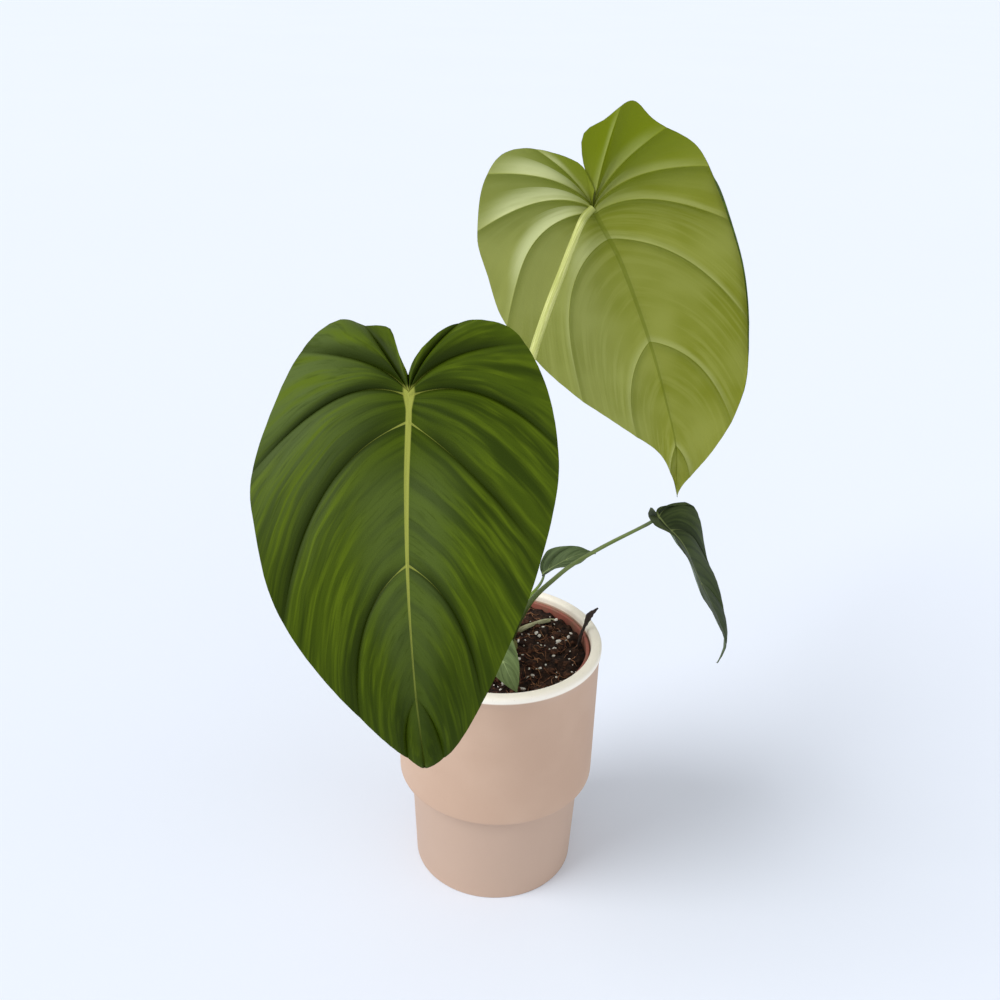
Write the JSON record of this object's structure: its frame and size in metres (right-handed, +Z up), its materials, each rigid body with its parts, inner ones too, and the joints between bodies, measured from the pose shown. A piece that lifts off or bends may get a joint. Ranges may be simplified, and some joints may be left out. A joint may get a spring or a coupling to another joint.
{
  "type": "potted philodendron",
  "caption": "Potted aroid house plant with large quilted heart-shaped leaves on long stalks, in a nursery pot set inside a stepped round ceramic cover pot.",
  "frame": {"origin": "centre of the cover pot's foot, on the surface it stands on", "axes": "+Z up; -Y towards the front, the side of the large hanging leaf; +X to the right seen from the front"},
  "size_m": [0.2923, 0.2669, 0.52],
  "materials": {
    "ceramic": "matte unglazed-looking ceramic, pinkish beige, with a paler cream rim",
    "nursery_plastic": "thin matte terracotta-red plastic",
    "potting_mix": "loose dark peat and bark with white perlite grains",
    "rhizome": "living stem, green with brown rings",
    "petiole": "living leaf stalk, smooth, pale yellow-green",
    "front_blade": "velvety satin leaf, deep green with lighter stripes along the veins and pale ribs",
    "rear_blade": "matte leaf underside, olive green",
    "young_blade": "satin young leaf, grey-green",
    "cut_petiole": "withered pale leaf stalk",
    "dry_stalk": "dry dark brown stalk"
  },
  "bodies": {
    "root": {"cover_pot": "ceramic", "nursery_pot": "nursery_plastic", "potting_mix": "potting_mix", "rhizome": "rhizome", "front_petiole": "petiole", "front_blade": "front_blade", "rear_petiole": "petiole", "rear_blade": "rear_blade", "side_petiole": "petiole", "side_blade": "young_blade", "small_petiole": "petiole", "small_blade": "young_blade", "low_petiole": "petiole", "low_blade": "young_blade", "cut_petiole": "cut_petiole", "dry_stalk": "dry_stalk"}
  },
  "joints": []
}
